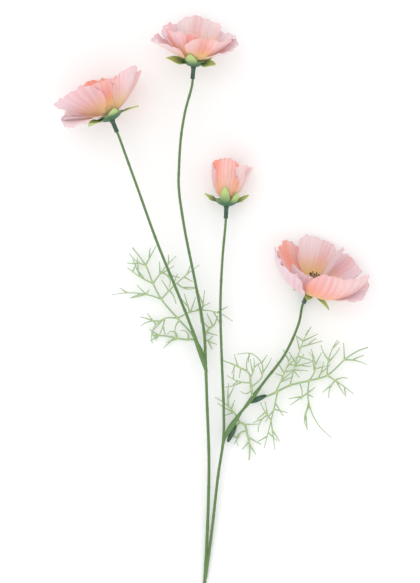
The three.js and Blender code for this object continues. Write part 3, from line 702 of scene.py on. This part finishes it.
def neck_of(flower):
    """The dark neck: a tube with a bead at its mouth, faint flutes, and a flare under the cup."""
    bottom = SLEEVE_TOP - SLEEVE_LENGTH
    r = SLEEVE_RADIUS
    neck = [(0, bottom), (r - 0.5, bottom), (r, bottom + 0.5), (r, bottom + 1.3), (r - 0.18, bottom + 1.9)]
    neck += [(r - 0.12, bottom + 5), (r - 0.1, SLEEVE_TOP - 3), (r + 0.2, SLEEVE_TOP - 1.2)]
    neck += [(SLEEVE_TOP_RADIUS, SLEEVE_TOP), (0, SLEEVE_TOP)]
    points, faces, uv = turned(flower["head"], neck, 48, flute=0.018, flutes=6, count=48)
    dark = Surfaces()
    dark.add(points, faces, uv)
    return dark


# %% [markdown]
# ## Moulded green plastic
#
# One family of finishes serves the cups, necks, stems and fronds: a green that drifts a little in tone,
# a satin surface, and the fine grain that a mould leaves. What differs is the pair of colours
# and the value that leads from one to the other.

# %% The green plastics
def green_plastic(name, dark, light, lead, low, high, roughness):
    """Satin plastic whose colour goes from dark to light as the mesh's value `lead` passes from low
    to high, with cloudy drift in tone and a fine grain in the bump."""
    plastic = Finish(name)
    where = plastic.objects()
    clouds = plastic.noise(where, 90.0, 3.0)
    grain = plastic.noise(where, 1800.0, 2.0)
    amount = plastic.step(plastic.value(lead) + clouds * 0.35 - 0.175, low, high)
    colour = plastic.blend(amount, dark, light)
    worn = plastic.blend(plastic.step(grain, 0.6, 0.8) * 0.25, colour, light)
    return plastic.surface(
        {
            "Base Color": worn,
            "Roughness": roughness + 0.18 * clouds,
            "Normal": plastic.bump(grain + clouds * 0.6, 0.0002, 0.35),
            "Subsurface Weight": 0.05,
            "Subsurface Scale": 0.003,
            "Specular IOR Level": 0.4,
        }
    )


CALYX_DARK, CALYX_LIGHT = paint(64, 106, 74), paint(184, 208, 130)
CALYX_FINISH = green_plastic("calyx_plastic", CALYX_DARK, CALYX_LIGHT, "rise", 0.16, 0.85, 0.42)


def neck_plastic():
    """Dark plastic with lengthwise streaks, paler where it has been rubbed."""
    plastic = Finish("neck_plastic")
    where = plastic.objects()
    clouds = plastic.noise(where, 160.0, 3.0)
    streaks = plastic.noise(plastic.stretched(plastic.uv(), (26, 0.25, 1)), 1.0, 2.0)
    rubbed = plastic.step(clouds * 0.6 + streaks * 0.4, 0.35, 0.7)
    colour = plastic.blend(rubbed, paint(38, 66, 52), paint(78, 112, 86))
    return plastic.surface(
        {
            "Base Color": colour,
            "Roughness": 0.34 + 0.25 * clouds,
            "Normal": plastic.bump(streaks + clouds * 0.5, 0.0002, 0.4),
            "Specular IOR Level": 0.45,
        }
    )


NECK_FINISH = neck_plastic()
for label, flower in FLOWERS.items():
    calyx_of(flower).piece(f"{label}_calyx", CALYX_FINISH, "sepal", f"{label}_sepals")
    neck_of(flower).piece(f"{label}_neck", NECK_FINISH, "sleeve", f"{label}_sleeve")

# %% [markdown]
# ## Hearts
#
# In the middle of an open poppy stands a ribbed seed pod under a flat cap, in a ring of stamens: stiff
# dark threads, each with a small oval anther at its tip. They are far too many to place by hand, so a
# loop draws each one's lean and length from a seeded generator, and a tube is made along its line.

# %% Pods and stamens
STAMENS, STAMEN_SIDES = 34, 8


def heart_of(flower):
    """The pod, turned and fluted, and the stamens; the value `tip` is 1 on the anthers and the cap."""
    head, dark = flower["head"], Surfaces()
    draw = np.random.default_rng(flower["seed"])
    foot = CORE_TOP + GAP
    pod = [(0, foot), (2.4, foot), (2.7, foot + 1.8), (1.9, 8), (2.6, 8.5), (2.5, 9.3), (1.2, 10), (0, 10.2)]
    points, faces, uv = turned(head, pod, 60, flute=0.07, flutes=10, count=44)
    height = (points - head.base) @ head.out
    dark.add(points, faces, uv, tip=soft_step(height, 7.6, 8.6) * 0.8)
    for number in range(STAMENS):
        azimuth = 360 * (number + 0.6 * draw.random()) / STAMENS
        length, lean = flower["stamen"] * (0.75 + 0.3 * draw.random()), 6 + 18 * draw.random()
        t = np.linspace(0, 1, 14)
        line = middle_line(t, length, (lean * 0.4, lean, lean * 1.7), (2.3, CORE_TOP + 0.2))
        centre = beside(head, line, azimuth, 0.0, 1.0, 0.3 * np.sin(5 * t + number))
        anther = np.exp(-(((t - 0.95) / 0.07) ** 2))
        points, faces, uv = tube(centre, 0.24 + 0.38 * anther, STAMEN_SIDES)
        dark.add(points, faces, uv, tip=along_tube(anther, STAMEN_SIDES))
    return dark


def heart_finish():
    """Grey-brown dyed thread with darker, grainy anthers."""
    thread = Finish("heart_thread")
    grain = thread.noise(thread.objects(), 1500.0, 2.0)
    colour = thread.blend(thread.value("tip"), paint(120, 104, 92), paint(58, 48, 46))
    grainy = thread.blend(thread.step(grain, 0.5, 0.75) * 0.5, colour, paint(150, 128, 84))
    return thread.surface(
        {"Base Color": grainy, "Roughness": 0.6 + 0.2 * grain, "Normal": thread.bump(grain, 0.0002, 0.6)}
    )


HEART_FINISH = heart_finish()
for label, flower in FLOWERS.items():
    if "seed" in flower:
        heart_of(flower).piece(f"{label}_stamens", HEART_FINISH, "heart", f"{label}_heart")

# %% [markdown]
# ## Stems
#
# The stem is wire in a plastic coat, and each branch is bound to the main stem by a moulded sheath that
# starts as a swelling. A bevelled curve would give a round tube, but the coat isn't quite
# round: it has shallow flutes, and small bumps where leaves would have grown. So it is made
# with the tube formula, with a radius that tapers, swells at the sheaths and has those bumps.

# %% Where the stems run
# Distances behind a flower's base: a stem ends inside the neck and makes its last bend below it.
STEM_END = SLEEVE_LENGTH - SLEEVE_TOP - 4
LAST_BEND = SLEEVE_LENGTH - SLEEVE_TOP + 6
left, top, right, bud = (flower["head"] for flower in FLOWERS.values())
# The points that each stem runs through. The first runs from the cut end to the top bloom.
STEMS = [
    [
        (-9.3, -297, 1.25), (-8.8, -279, 1.25), (-6.4, -234.8, 4), (-4.3, -181.6, 7.2),
        (-3.8, -140.5, 9.6), (-5.8, -82.6, 12.6), (-7.0, -45.8, 14.6), (-8.9, -12.6, 16.6),
        (-16.6, 30.6, 18.6), (-28.4, 90.0, 21), (-33.6, 128.0, 23), (-33.4, 147.2, 24),
        (-31.3, 178.3, 25), (-27.1, 203.4, 26), top.behind(LAST_BEND), top.behind(STEM_END),
    ],
    [
        (-6.4, -64.7, 13.7), (-8.1, -42.8, 15.2), (-16.6, -22.4, 17), (-27.9, 7.2, 19.6),
        (-55.1, 74.1, 24), (-73.7, 125.9, 27.4), (-84.9, 156.9, 29.6), left.behind(LAST_BEND),
        left.behind(STEM_END),
    ],
    [
        (-7.1, -260.9, 2.7), (-4.0, -237.8, 3.8), (0.1, -205.1, 5.8), (5.3, -158.5, 8.4),
        (10.7, -120.6, 10.2), (10.9, -92.6, 11.6), (9.1, -44.8, 13.4), (7.6, 9.8, 15),
        (9.7, 58.9, 16.2), bud.behind(LAST_BEND), bud.behind(STEM_END),
    ],
    [
        (9.6, -128.5, 9.8), (15.5, -111.1, 10.6), (32.7, -89.1, 11.8), (51.0, -64.7, 12.5),
        (71.8, -36.9, 12.6), (85.6, -6.1, 11.8), right.behind(LAST_BEND - 2),
        right.behind(STEM_END),
    ],
]
# The sheaths at two forks and under a frond: their two ends and their greatest radius.
SWELLINGS = [
    (((-6.2, -54.7, 14), (-20.5, -12.0, 18)), 2.1),
    (((11.8, -120.5, 10.3), (27.6, -95.4, 11.6)), 2.2),
    (((32.1, -89.9, 11.8), (47.0, -70.1, 12.4)), 2.2),
]
SOCKETS = {
    "frond_socket_upper": (((36.8, -85.4, 9.4), (53.0, -78.1, 10.6)), 2.7),
    "frond_socket_lower": (((15.0, -124.5, 7.6), (23.2, -108.1, 8.2)), 2.5),
}

# %% Stems and sheaths
STEM_SIDES, STEM_STEP = 20, 1.2
CUT_RADIUS, FORK_RADIUS, HEAD_RADIUS, SHEATH_END_RADIUS = 1.6, 1.45, 1.2, 1.6


def spindle_line(ends, step):
    """The straight line between two ends, and a sine that is 0 at both and 1 in the middle."""
    middle = (np.array(ends[0]) + ends[1]) / 2
    line = smooth_line([ends[0], middle, ends[1]], step)
    return line, np.sin(np.pi * np.linspace(0, 1, len(line)))


def stems():
    """Every stem and sheath; the value `sheath` is 1 on the bright sheaths at the forks."""
    green = Surfaces()
    for number, points in enumerate(STEMS):
        line = smooth_line(points, STEM_STEP)
        t = np.linspace(0, 1, len(line))
        run = np.linspace(0, STEM_STEP * len(line), len(line))
        bumps = 0.16 * np.maximum(0, np.sin(run * 0.16 + 2 * number)) ** 24
        start = FORK_RADIUS if number else CUT_RADIUS
        radius = start + (HEAD_RADIUS - start) * t + bumps + 0.03 * np.sin(run * 0.9 + number)
        near_fork = np.zeros(len(line)) if number == 0 else 1 - soft_step(run, 8, 34)
        points, faces, uv = tube(line, radius, STEM_SIDES, flute=0.04, flutes=5)
        green.add(above_table(points), faces, uv, sheath=along_tube(near_fork, STEM_SIDES))
    for ends, greatest in SWELLINGS:
        line, swell = spindle_line(ends, 0.8)
        radius = SHEATH_END_RADIUS + (greatest - SHEATH_END_RADIUS) * swell**1.4
        surface = tube(line, radius, STEM_SIDES, flute=0.04, flutes=5)
        green.add(*surface, sheath=along_tube(0.4 + 0.6 * swell, STEM_SIDES))
    return green


STEM_FINISH = green_plastic("stem_plastic", paint(94, 126, 74), paint(100, 134, 78), "sheath", 0.1, 0.8, 0.38)
stems().piece("stem_coat", STEM_FINISH, "stem", "branched_stem")

# %% [markdown]
# ## Fronds
#
# A frond is one flat moulding: a rib, and twigs that branch from it and from each other, all as thin as
# threads and a little thicker at each joint. A twig is given by its parent, its place along
# it, the compass headings it starts and ends with, and its length. The same few lines of code grow
# them all, so a frond is a short table instead of hundreds of points. The longer twigs each carry one
# short twiglet more, turned and sized by a seeded draw, because no two of them are alike.

# %% The fronds' tables
# A rib's points, then its twigs as (parent, place along it, first heading, last heading, length),
# where parent 0 is the rib and n the n-th twig, then how steeply the twigs rise.
FRONDS = {
    "frond_left_long": ([
        (-12.7, -30.3, 16), (-22.3, -15.3, 12.5), (-35.7, -0.8, 9.5), (-51.3, 17.7, 8.5),
        (-59.7, 33.7, 8), (-66.7, 51.0, 8.5), (-79.7, 68.7, 10),
    ], [
        (0, 0.82, 169, 119, 20), (0, 0.82, 61, 61, 22), (0, 0.66, 156, 140, 30),
        (3, 0.47, 114, 114, 19), (0, 0.66, 57, 43, 36), (5, 0.34, 93, 93, 12),
        (5, 0.38, -6, -112, 19), (0, 0.51, 157, 193, 50), (8, 0.31, 134, 134, 13),
        (8, 0.31, 58, 58, 6), (8, 0.42, -159, -159, 11), (0, 0.51, 49, 35, 51),
        (12, 0.44, -50, 22, 21), (12, 0.22, 123, 123, 13), (12, 0.23, -46, -82, 15),
        (0, 0.31, 164, 287, 43), (16, 0.42, 168, 220, 20), (16, 0.53, 128, 128, 14),
        (16, 0.3, -95, -130, 23), (0, 0.31, 34, -40, 59), (20, 0.23, 106, 106, 19),
        (20, 0.24, 70, 70, 16), (20, 0.45, 83, 83, 20), (20, 0.41, -85, -85, 13),
        (0, 0.28, -135, -72, 17), (8, 0.7, 145, 145, 9), (12, 0.7, 68, 68, 10),
        (12, 0.62, -30, -30, 10), (16, 0.75, -60, -60, 9), (20, 0.7, 30, 30, 12),
        (20, 0.64, -62, -62, 12), (5, 0.7, 88, 88, 9), (3, 0.78, 64, 64, 8),
    ], 0.02),
    "frond_left_low": ([
        (-9.7, -34.3, 15.5), (-19.0, -22.8, 9), (-26.4, -22.8, 5), (-37.2, -21.3, 4),
        (-46.3, -19.3, 3.5), (-59.7, -18.7, 3.5),
    ], [
        (0, 0.4, 63, 190, 14), (0, 0.59, 69, 240, 15), (0, 0.63, -137, -137, 15),
        (0, 0.57, -160, -160, 12), (0, 0.91, 144, 144, 11), (0, 0.91, -146, -146, 10),
    ], 0),
    "frond_left_back": ([
        (-7.1, -31.3, 14), (-7.7, -21.3, 8), (-5.7, -14.3, 5.5), (1.8, -7.3, 5), (4.8, 0.7, 5),
    ], [
        (0, 0.48, -18, -18, 11), (0, 0.28, -30, -15, 13), (2, 0.24, 42, 42, 7),
        (2, 0.31, -67, -67, 9), (0, 0.71, 115, 115, 14), (0, 0.6, 135, 135, 10),
    ], 0),
    "frond_right_long": ([
        (49.3, -80.3, 10.4), (57.3, -77.7, 9.4), (77.8, -68.0, 8.5), (95.3, -63.8, 8),
        (114.0, -58.3, 8), (131.9, -42.3, 8), (143.1, -34.8, 8.5), (154.3, -30.3, 9.5),
    ], [
        (0, 0.78, 93, 93, 17), (0, 0.78, 2, -26, 23), (0, 0.58, 92, 56, 37),
        (3, 0.42, 133, 101, 17), (0, 0.58, -32, -38, 32), (5, 0.29, 38, -19, 13),
        (5, 0.29, -138, -83, 19), (0, 0.42, 42, 137, 32), (8, 0.56, 62, 62, 14),
        (8, 0.43, 14, 14, 13), (0, 0.42, -101, -36, 64), (11, 0.4, -133, -57, 25),
        (11, 0.19, -145, -145, 21), (11, 0.19, 37, 37, 9), (11, 0.21, -27, -27, 6),
        (0, 0.26, 79, 65, 58), (16, 0.8, 26, 26, 16), (16, 0.69, 16, 16, 22),
        (16, 0.8, 145, 145, 10), (16, 0.63, 105, 105, 13), (16, 0.26, -49, -49, 9),
        (16, 0.28, -4, -4, 14), (16, 0.33, 16, 16, 19), (0, 0.12, 64, 70, 40),
        (24, 0.51, 122, 122, 14), (24, 0.68, 46, 46, 15), (24, 0.57, 11, 11, 12),
        (24, 0.83, 117, 117, 13), (24, 0.45, 160, 160, 8), (0, 0.14, -102, -105, 58),
        (30, 0.52, -82, -83, 29), (30, 0.31, -14, -14, 14), (30, 0.51, 133, 110, 20),
        (33, 0.48, -141, -141, 11), (33, 0.33, -151, -85, 20), (16, 0.4, 122, 122, 13),
        (16, 0.52, -18, -18, 17), (16, 0.9, 58, 58, 10), (24, 0.28, 24, 24, 14),
        (24, 0.76, -8, -8, 12), (30, 0.72, -44, -44, 12), (30, 0.8, -150, -150, 11),
        (30, 0.2, -58, -58, 15), (8, 0.76, 104, 104, 10), (3, 0.76, 44, 44, 9),
        (0, 0.34, -62, -104, 17), (0, 0.5, 62, 84, 18), (5, 0.64, -84, -84, 10),
    ], 0),
    "frond_right_inner": ([
        (39.3, -78.3, 12.6), (37.8, -67.3, 17.6), (36.0, -56.3, 18), (24.7, -49.1, 17.8),
        (10.3, -43.3, 17.6),
    ], [
        (0, 0.18, 20, 205, 56), (1, 0.5, 55, 55, 10), (1, 0.79, -98, -98, 9),
        (0, 0.36, 60, 100, 20), (0, 0.28, 183, 143, 25), (0, 0.7, 107, 107, 13),
        (0, 0.75, -111, -111, 9), (0, 0.64, -100, -100, 10), (0, 0.14, -112, -229, 13),
        (5, 0.5, -144, -144, 6), (0, 0.5, 104, 62, 17), (1, 0.3, 112, 112, 11),
        (4, 0.55, 36, 36, 9), (5, 0.7, 84, 84, 9),
    ], 0),
    "frond_right_drooping": ([
        (22.3, -110.3, 7.6), (27, -105.6, 5.8), (31.9, -108.2, 4.8), (35.0, -119.3, 4),
        (37.0, -130.7, 3.5), (36.3, -143.0, 3),
    ], [
        (0, 0.15, 114, 155, 36), (0, 0.25, 2, 2, 14), (0, 0.52, -29, -29, 15),
        (0, 0.39, 176, 304, 21), (1, 0.55, 96, 83, 23), (1, 0.44, 69, 69, 10),
        (1, 0.34, -161, -161, 10), (0, 0.68, -58, -58, 12), (0, 0.62, -132, -132, 10),
        (4, 0.6, 150, 150, 8),
    ], 0),
}

# %% Growing the fronds
LONG_TWIG, TWIGLET_PLACE = 17, 0.34
LOWEST_THREAD = 1.2  # height of a thread's middle over the table
THREAD_SIDES, THREAD_STEP = 8, 0.8
RIB_RADII, TWIG_RADII = (1.2, 0.6), (0.82, 0.32)  # at the root and at the tip
FIRST_FROND_SEED = 5


def twig_points(start, first, last, length, rise):
    """Five points that start at `start` and turn evenly from one heading to the other."""
    points = [np.array(start)]
    for part in range(4):
        heading = math.radians(first + (last - first) * (part + 0.5) / 4)
        p = points[-1] + length / 4 * np.array([math.cos(heading), math.sin(heading), rise])
        p[2] = max(LOWEST_THREAD, p[2])
        points.append(p)
    return points


def with_twiglets(twigs, seed):
    """The table, and after it one short twiglet for every long twig, from a seeded generator."""
    draw = np.random.default_rng(seed)
    twiglets = []
    for number, (_, _, first, last, length) in enumerate(twigs, 1):
        if length > LONG_TWIG:
            heading = first + (last - first) * TWIGLET_PLACE
            turn = draw.choice((-1, 1)) * (26 + 12 * draw.random())
            size = min(17, 0.62 * length) * (0.75 + 0.4 * draw.random())
            twiglets.append((number, TWIGLET_PLACE, heading + turn, heading + 0.6 * turn, size))
    return list(twigs) + twiglets


def frond_of(rib, twigs, rise):
    """The rib and its twigs; the value `joint` marks the joints and grows toward a tip."""
    thread = Surfaces()
    lines = [smooth_line(rib, THREAD_STEP)]
    joints = {0: [0.0]}
    for number, (parent, place, first, last, length) in enumerate(twigs, 1):
        joints.setdefault(parent, []).append(place)
        joints.setdefault(number, []).append(0.0)
        carrier = lines[parent]
        start = carrier[round(place * (len(carrier) - 1))]
        lines.append(smooth_line(twig_points(start, first, last, length, rise), THREAD_STEP))
    for number, line in enumerate(lines):
        t = np.linspace(0, 1, len(line))
        run = t * np.linalg.norm(np.diff(line, axis=0), axis=1).sum()
        at_root, at_tip = RIB_RADII if number == 0 else TWIG_RADII
        knots = sum(np.exp(-(((run - place * run[-1]) / 1.5) ** 2)) for place in joints[number])
        end_knob = np.exp(-(((run - run[-1]) / 1.1) ** 2))
        radius = (at_root + (at_tip - at_root) * t) * (1 + 0.28 * np.minimum(knots, 1) + 0.3 * end_knob)
        surface = tube(line, radius, THREAD_SIDES, flute=0.05, flutes=3)
        thread.add(*surface, joint=along_tube(np.minimum(knots, 1) * 0.7 + 0.3 * t, THREAD_SIDES))
    return thread


FROND_DARK, FROND_LIGHT = paint(158, 184, 140), paint(188, 206, 138)
FROND_FINISH = green_plastic("frond_plastic", FROND_DARK, FROND_LIGHT, "joint", 0.2, 0.95, 0.45)
for seed, (name, (rib, twigs, rise)) in enumerate(FRONDS.items(), FIRST_FROND_SEED):
    frond_of(rib, with_twiglets(twigs, seed), rise).piece(f"{name}_threads", FROND_FINISH, "frond", name)

# %% [markdown]
# ## Sockets
#
# Two of the fronds on the right are held by dark spindle-shaped sockets. Each is a tube whose radius
# rises and falls as a power of a sine between its two ends, with faint flutes from the mould.

# %% The frond sockets
SOCKET_END_RADIUS = 1.1
for name, (ends, greatest) in SOCKETS.items():
    line, swell = spindle_line(ends, 0.5)
    radius = SOCKET_END_RADIUS + (greatest - SOCKET_END_RADIUS) * swell**0.8
    socket = Surfaces()
    socket.add(*tube(line, radius, 32, flute=0.02, flutes=6))
    socket.piece(f"{name}_moulding", NECK_FINISH, "sleeve", name)

# %% [markdown]
# ## Table, light and camera
#
# The spray lies on a plain, almost white table under a large soft lamp, with even light from all
# around, and the camera looks straight down from two metres, so there is hardly any perspective.

# %% Table, light and camera
def table_top():
    """A plain matt surface with the faintest drift in tone."""
    matt = Finish("table_paper")
    clouds = matt.noise(matt.objects(), 3.0, 2.0)
    colour = matt.blend(clouds, paint(251, 251, 251), paint(253, 253, 253))
    return matt.surface({"Base Color": colour, "Roughness": 0.9, "Specular IOR Level": 0.1})


TABLE_HALF = 2.5  # metres
corners = np.array([(-1, -1, 0), (1, -1, 0), (1, 1, 0), (-1, 1, 0)]) * TABLE_HALF
table_mesh = bpy.data.meshes.new("table")
table_mesh.from_pydata(corners.tolist(), [], [(0, 1, 2, 3)])
table = bpy.data.objects.new("table", table_mesh)
bpy.context.scene.collection.objects.link(table)
table_mesh.materials.append(table_top())


def soft_lamp(name, place, target, size, power):
    """A square lamp that faces its target."""
    lamp = bpy.data.lights.new(name, "AREA")
    lamp.size, lamp.energy = size, power
    holder = bpy.data.objects.new(name, lamp)
    bpy.context.scene.collection.objects.link(holder)
    holder.location = place
    aim = np.array(target, float) - place
    holder.rotation_euler = (
        math.acos(-aim[2] / np.linalg.norm(aim)), 0, math.atan2(aim[0], -aim[1]) + math.pi
    )


soft_lamp("key_lamp", place=(-0.5, 0.1, 1.7), target=(0, 0, 0), size=1.6, power=4.5)

world = bpy.data.worlds.new("studio")
bpy.context.scene.world = world
world.use_nodes = True
background = world.node_tree.nodes["Background"]
background.inputs["Color"].default_value = (1, 1, 1, 1)
background.inputs["Strength"].default_value = 1.03
bpy.context.scene.view_settings.view_transform = "Standard"

# In millimetres: the length of table in view, the camera's height over it, and its sensor's width.
VIEW_HEIGHT, CAMERA_HEIGHT, SENSOR = 583, 2000, 36
VIEW_CENTRE = (-2.7, 25.2)
camera = bpy.data.objects.new("camera", bpy.data.cameras.new("camera"))
bpy.context.scene.collection.objects.link(camera)
camera.location = (VIEW_CENTRE[0] * MM, VIEW_CENTRE[1] * MM, CAMERA_HEIGHT * MM)
camera.data.sensor_width = SENSOR
camera.data.lens = SENSOR * CAMERA_HEIGHT / VIEW_HEIGHT
camera.data.clip_end = 20
bpy.context.scene.camera = camera
print("lens in mm:", round(camera.data.lens, 2))
